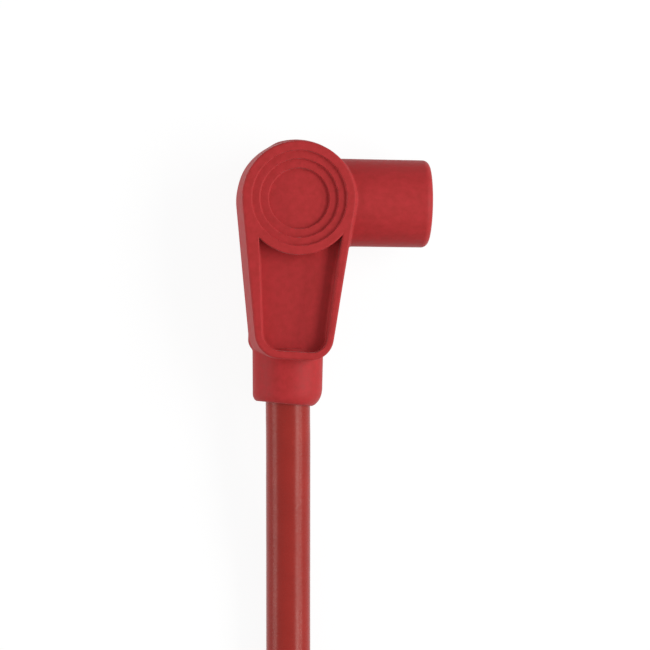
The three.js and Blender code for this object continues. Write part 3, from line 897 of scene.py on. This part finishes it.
class PART_OT_cores(bpy.types.Operator):
    """Make the stripped core at each end of the lead, bent over onto its terminal"""

    bl_idname = "part.cores"
    bl_label = "Cores"

    def execute(self, context):
        radius = context.scene.lead.core_diameter / 2

        def strand(name, place, over, distance, replaced):
            half = CORE_BEND * math.sqrt(0.5)
            points = [(0, CORE_START, 0), (0, CORE_REACH - CORE_BEND, 0),
                      (0, CORE_REACH - CORE_BEND + half, over * (CORE_BEND - half)),
                      (0, CORE_REACH, over * CORE_BEND), (0, CORE_REACH, over * distance)]
            line, _ = smooth_line(points, CORE_LINE_STEP)
            line = np.array([tuple(place @ (Vector(p) * MM)) for p in line])
            mesh = tube_mesh(name, line, radius, CORE_SIDES, end_round=0.15 * MM)
            return add_piece(name, mesh, core_finish(), [replaced])

        plug_end = Matrix.Translation(Vector(RUN_POINTS[0]) * MM)
        strand("plug_core_strand", plug_end, -1, PLUG_CORE_LENGTH, "plug_end_core")
        coil_end = coil_boot_matrix() @ Matrix.Translation((0, COIL_LEAD_END * MM, 0))
        strand("coil_core_strand", coil_end, 1, COIL_CORE_LENGTH, "coil_end_core")
        return {"FINISHED"}


class PART_OT_ties(bpy.types.Operator):
    """Make the two ties that hold the coil"""

    bl_idname = "part.ties"
    bl_label = "Ties"

    def execute(self, context):
        for name, degrees, replaced in TIE_PLACES:
            angle = math.radians(degrees)
            place = (Matrix.Translation(Vector((COIL_CENTRE[0], COIL_CENTRE[1], 0)) * MM)
                     @ Matrix.Rotation(angle, 4, "Z")
                     @ Matrix.Translation(Vector((COIL_R - TURN_PITCH / 2, 0, COIL_Z)) * MM))
            piece = add_piece(name, tie_mesh(name, place), nylon_finish(), [replaced])
            keep_flats(piece.data)
        return {"FINISHED"}


def tie_mesh(name, place):
    """A nylon strap about both turns, with a locking head on top."""
    shape = bmesh.new()
    path = []
    for centre, first in ((TURN_PITCH / 2, -math.pi / 2), (-TURN_PITCH / 2, math.pi / 2)):
        for i in range(TIE_BEND_POINTS):
            path.append((centre, first + math.pi * i / (TIE_BEND_POINTS - 1)))
    rows = []
    for centre, a in path:
        ring = [(centre + r * math.cos(a), w, r * math.sin(a)) for r, w in TIE_SECTION]
        rows.append([shape.verts.new(place @ (Vector(p) * MM)) for p in ring])
    for row, following in zip(rows, rows[1:] + rows[:1]):
        for j in range(len(row)):
            k = (j + 1) % len(row)
            shape.faces.new((row[j], row[k], following[k], following[j]))
    head = bmesh.ops.create_cube(shape, size=1.0)["verts"]
    long, wide, high = TIE_HEAD
    for vertex in head:
        corner = (vertex.co.x * long, vertex.co.y * wide, vertex.co.z * high + TIE_HEAD_Z)
        vertex.co = place @ (Vector(corner) * MM)
    edges = list({e for v in head for e in v.link_edges})
    bmesh.ops.bevel(shape, geom=edges, offset=TIE_HEAD_ROUND * MM, segments=TIE_HEAD_CUTS,
                    affect="EDGES", profile=0.5)
    bmesh.ops.recalc_face_normals(shape, faces=shape.faces)
    mesh = bpy.data.meshes.new(name)
    shape.to_mesh(mesh)
    shape.free()
    return mesh


# The coil end, in millimetres: radius, distance from the coil boot's small end, and rounding

NECK_R = 6.4
GRIP_RINGS = 3
GRIP_RING_R = 7.1
FIRST_RING, RING_PITCH = 4, 3.8
RING_FOOT, RING_TOP = 0.9, 0.45  # half a ring's width, at its foot and its top
RING_FOOT_ROUND, RING_TOP_ROUND = 0.3, 0.4
COIL_BOOT_SEGMENTS, COIL_TERMINAL_SEGMENTS = 96, 64
COIL_BOOT_START = [(4.0, 0, 0.2), (NECK_R, 0, 0.9)]
COIL_BOOT_REST = [
    (NECK_R, 17, 2.0), (8.8, 22, 2.0), (8.8, 39.9, 0.4), (9.2, 40.6, 0.4), (9.2, 43, 0.9),
    (6.6, 43, 0.6), (6.6, 23, 0.3), (4.6, 23, 0.2), (4.6, 10.9, 0.1), (4.0, 10.9, 0.1),
]
COIL_TERMINAL = [
    (0, 23.3, 0), (3.95, 23.3, 0.1), (3.95, 11.2, 0.1), (4.45, 11.2, 0.15), (4.45, 23.3, 0.1),
    (5.4, 23.3, 0.2), (5.4, 24.5, 0.2), (3.0, 24.5, 0.2), (3.0, 36.1, 0.2), (2.6, 36.5, 0.2),
    (2.3, 36.5, 0.1), (2.3, 24.5, 0.1), (0, 24.5, 0),
]


def turned_piece(name, corners, segments, material, replaced):
    """A piece turned about the coil boot's axis."""
    profile = [(r * MM, y * MM) for r, y in rounded_profile(corners)]
    mesh = turned_mesh(name, profile, segments, coil_boot_matrix())
    piece = add_piece(name, mesh, material, replaced)
    keep_flats(mesh)
    return piece


class PART_OT_coil_boot(bpy.types.Operator):
    """Make the straight coil boot on the lead's far end"""

    bl_idname = "part.coil_boot"
    bl_label = "Coil boot"

    def execute(self, context):
        corners = list(COIL_BOOT_START)
        for i in range(GRIP_RINGS):
            middle = FIRST_RING + RING_PITCH * i
            corners += [(NECK_R, middle - RING_FOOT, RING_FOOT_ROUND),
                        (GRIP_RING_R, middle - RING_TOP, RING_TOP_ROUND),
                        (GRIP_RING_R, middle + RING_TOP, RING_TOP_ROUND),
                        (NECK_R, middle + RING_FOOT, RING_FOOT_ROUND)]
        corners += COIL_BOOT_REST
        turned_piece("coil_boot_moulding", corners, COIL_BOOT_SEGMENTS, silicone_finish(),
                     ["coil_boot"])
        return {"FINISHED"}


class PART_OT_coil_terminal(bpy.types.Operator):
    """Make the coil terminal's turned pin and crimp barrel"""

    bl_idname = "part.coil_terminal"
    bl_label = "Coil terminal"

    def execute(self, context):
        turned_piece("coil_terminal_pin", COIL_TERMINAL, COIL_TERMINAL_SEGMENTS,
                     brass_finish(), ["coil_terminal"])
        return {"FINISHED"}


# The plug terminal, in millimetres

SPRING_X = 7.45
SPRING_R = 4.0
SPRING_WIRE_R = 0.35
SPRING_OPENING = 0.5  # radians left open in the ring
SPRING_POINTS = 61
SPRING_LINE_STEP = 0.3
SPRING_SIDES = 16


class PART_OT_plug_terminal(bpy.types.Operator):
    """Finish the folded plug terminal, and make its snap spring"""

    bl_idname = "part.plug_terminal"
    bl_label = "Plug terminal"

    def execute(self, context):
        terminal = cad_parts["plug_terminal"]
        terminal.data.materials.clear()
        terminal.data.materials.append(steel_finish())
        points = []
        for i in range(SPRING_POINTS):
            a = (SPRING_OPENING / 2
                 + (2 * math.pi - SPRING_OPENING) * i / (SPRING_POINTS - 1))
            points.append((SPRING_X, SPRING_R * math.cos(a), AXIS_Z + SPRING_R * math.sin(a)))
        line, _ = smooth_line(points, SPRING_LINE_STEP)
        mesh = tube_mesh("snap_spring", line * MM, SPRING_WIRE_R * MM, SPRING_SIDES,
                         end_round=0.1 * MM)
        add_piece("snap_spring", mesh, steel_finish(), ["plug_terminal_spring"])
        return {"FINISHED"}


# Stage, in metres

CAMERA_PLACE = (-0.024107, -0.032890, 0.364540)
CAMERA_VIEW = (0.08506061, 0.03301687, -0.99582859)
CAMERA_ROLL = math.radians(0.5)
FLOOR_SIZE = 8
FLOOR_DROP = 0.0001  # below the part, so that no faces share a place
FLOOR_GLOW = 1.3
FLOOR_WHITE = 0.7  # the share of plain white that the camera sees in the floor
LAMP_AIM = (0.004, -0.02, 0.008)
LAMPS = (  # name, length along the table and width, place
    ("key", (0.5, 0.16), (0.37, -0.03, 0.36)),
    ("strip", (0.6, 0.04), (0.45, -0.05, 0.20)),
    ("fill", (0.6, 0.04), (-0.48, -0.06, 0.15)),
    ("side", (0.6, 0.05), (-0.50, -0.04, 0.045)),
)


class PART_OT_camera(bpy.types.Operator):
    """Set up the camera"""

    bl_idname = "part.camera"
    bl_label = "Camera"

    def execute(self, context):
        data = bpy.data.cameras.new("camera")
        camera = bpy.data.objects.new("camera", data)
        context.scene.collection.objects.link(camera)
        view = Vector(CAMERA_VIEW).normalized()
        right = view.cross(Vector((0, 1, 0))).normalized()
        up = right.cross(view)
        c, s = math.cos(CAMERA_ROLL), math.sin(CAMERA_ROLL)
        right, up = c * right + s * up, c * up - s * right
        turn = Matrix((right, up, -view)).transposed().to_4x4()
        camera.matrix_world = Matrix.Translation(Vector(CAMERA_PLACE)) @ turn
        data.sensor_fit = "HORIZONTAL"
        data.angle = context.scene.stage.picture_angle
        data.clip_start = 0.005
        data.clip_end = 50
        context.scene.camera = camera
        return {"FINISHED"}


def shown_pale(tree, surface, white, share):
    """To the camera, and in metal and glass, this share of a surface is plain white.

    The rest of it keeps its own shading, and so the object's shadow."""
    path = tree.nodes.new("ShaderNodeLightPath")
    seen = path.outputs["Is Camera Ray"]
    for kind in ("Is Glossy Ray", "Is Transmission Ray"):
        either_ray = tree.nodes.new("ShaderNodeMath")
        either_ray.operation = "MAXIMUM"
        tree.links.new(seen, either_ray.inputs[0])
        tree.links.new(path.outputs[kind], either_ray.inputs[1])
        seen = either_ray.outputs[0]
    part = tree.nodes.new("ShaderNodeMath")
    part.operation = "MULTIPLY"
    tree.links.new(seen, part.inputs[0])
    part.inputs[1].default_value = share
    mix = tree.nodes.new("ShaderNodeMixShader")
    tree.links.new(part.outputs[0], mix.inputs["Fac"])
    tree.links.new(surface, mix.inputs[1])
    tree.links.new(white, mix.inputs[2])
    return mix.outputs[0]


def pale_floor(color):
    """A matte floor that the camera sees as mostly white."""
    material, tree, shader = new_material("pale_floor", color, roughness=0.9, specular=0.1)
    glow = tree.nodes.new("ShaderNodeEmission")
    glow.inputs["Color"].default_value = (1, 1, 1, 1)
    glow.inputs["Strength"].default_value = FLOOR_GLOW
    shown = shown_pale(tree, shader.outputs[0], glow.outputs[0], FLOOR_WHITE)
    tree.links.new(shown, tree.nodes["Material Output"].inputs["Surface"])
    return material


def even_sky(strength):
    """Even light from all round, which the camera sees as plain white."""
    world = bpy.data.worlds.new("sky")
    world.use_nodes = True
    tree = world.node_tree
    sky = tree.nodes["Background"]
    white = tree.nodes.new("ShaderNodeBackground")
    for background, value in ((sky, strength), (white, 1.0)):
        background.inputs["Color"].default_value = (1, 1, 1, 1)
        background.inputs["Strength"].default_value = value
    shown = shown_pale(tree, sky.outputs[0], white.outputs[0], 1.0)
    tree.links.new(shown, tree.nodes["World Output"].inputs["Surface"])
    return world


def area_lamp(name, power, size, place):
    """A rectangular lamp that shines on the plug boot."""
    data = bpy.data.lights.new(name, "AREA")
    data.energy = power
    data.shape = "RECTANGLE"
    data.size, data.size_y = size
    light = bpy.data.objects.new(name, data)
    light.location = place
    aim = Vector(LAMP_AIM) - light.location
    light.rotation_euler = aim.to_track_quat("-Z", "Y").to_euler()
    bpy.context.scene.collection.objects.link(light)


class PART_OT_stage(bpy.types.Operator):
    """Lay the floor, and set the lamps and the sky"""

    bl_idname = "part.stage"
    bl_label = "Stage"

    def execute(self, context):
        stage = context.scene.stage
        bpy.ops.mesh.primitive_plane_add(size=FLOOR_SIZE, location=(0, 0, -FLOOR_DROP))
        floor = context.object
        floor.name = "floor"
        floor.data.materials.append(pale_floor(stage.floor_color))
        for name, size, place in LAMPS:
            area_lamp(name, getattr(stage, name + "_power"), size, place)
        context.scene.world = even_sky(stage.sky_strength)
        context.scene.view_settings.view_transform = "Standard"
        return {"FINISHED"}


# Panel and registration

STEPS = ("camera", "coil_boot", "coil_terminal", "cores", "ties", "lead", "plug_boot",
         "plug_terminal", "stage")
GROUPS = {"stage": StageSettings, "lead": LeadSettings, "boot": BootSettings,
          "terminals": TerminalSettings}


class PART_PT_panel(bpy.types.Panel):
    """Lists the pieces of the spark plug wire"""

    bl_idname = "PART_PT_panel"
    bl_label = "Spark plug wire"
    bl_space_type = "VIEW_3D"
    bl_region_type = "UI"
    bl_category = "Spark plug wire"

    def draw(self, context):
        for name in STEPS:
            self.layout.operator(f"part.{name}")
        for group in GROUPS:
            settings = getattr(context.scene, group)
            for key in settings.__annotations__:
                self.layout.prop(settings, key)


CLASSES = (*GROUPS.values(), PART_OT_camera, PART_OT_coil_boot, PART_OT_coil_terminal,
           PART_OT_cores, PART_OT_ties, PART_OT_lead, PART_OT_plug_boot, PART_OT_plug_terminal,
           PART_OT_stage, PART_PT_panel)


def register():
    for cls in CLASSES:
        bpy.utils.register_class(cls)
    for name, group in GROUPS.items():
        setattr(bpy.types.Scene, name, bpy.props.PointerProperty(type=group))


def unregister():
    for name in GROUPS:
        delattr(bpy.types.Scene, name)
    for cls in reversed(CLASSES):
        bpy.utils.unregister_class(cls)


def main():
    register()
    for name in STEPS:
        getattr(bpy.ops.part, name)()


if __name__ == "__main__":
    main()
